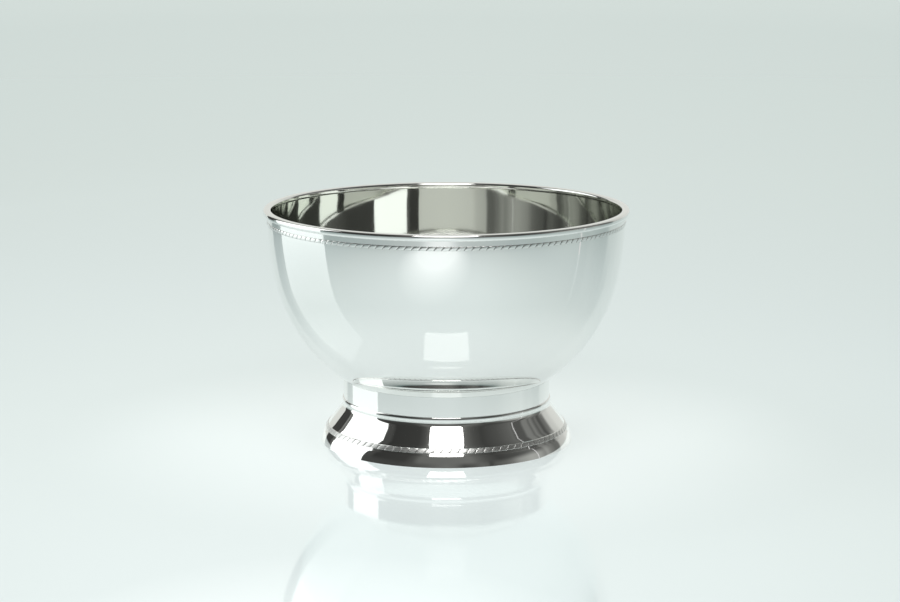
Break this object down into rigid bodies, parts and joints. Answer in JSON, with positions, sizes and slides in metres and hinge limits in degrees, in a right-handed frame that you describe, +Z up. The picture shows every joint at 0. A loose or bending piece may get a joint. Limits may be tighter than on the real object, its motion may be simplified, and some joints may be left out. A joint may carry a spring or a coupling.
{
  "type": "punch bowl",
  "caption": "Deep open punch bowl in mirror-polished metal with a beaded rim and rope borders, bolted onto a short drum collar and a flared round foot.",
  "frame": {"origin": "centre of the foot's lower edge, on the plane of the table", "axes": "+Z up along the bowl's axis of revolution; +X and +Y are horizontal, +Y pointing away from the front"},
  "size_m": [0.3649, 0.365, 0.236],
  "materials": {
    "polished_sheet": "mirror-polished plated sheet",
    "polished_border": "polished rolled strip, darker in its grooves",
    "plain_steel": "satin, as turned",
    "zinc_plated": "bright zinc-plated hardware"
  },
  "bodies": {
    "root": {"bowl_shell": "polished_sheet", "rim_bead": "polished_sheet", "rim_rope_border": "polished_border", "collar": "polished_sheet", "collar_bead": "polished_sheet", "foot_shell": "polished_sheet", "foot_rope_border": "polished_border", "foot_ring": "polished_sheet", "stud_plate": "plain_steel", "threaded_stud": "zinc_plated", "backing_disc": "plain_steel", "flat_washer": "zinc_plated", "lock_washer": "zinc_plated", "hex_nut": "zinc_plated"}
  },
  "joints": []
}
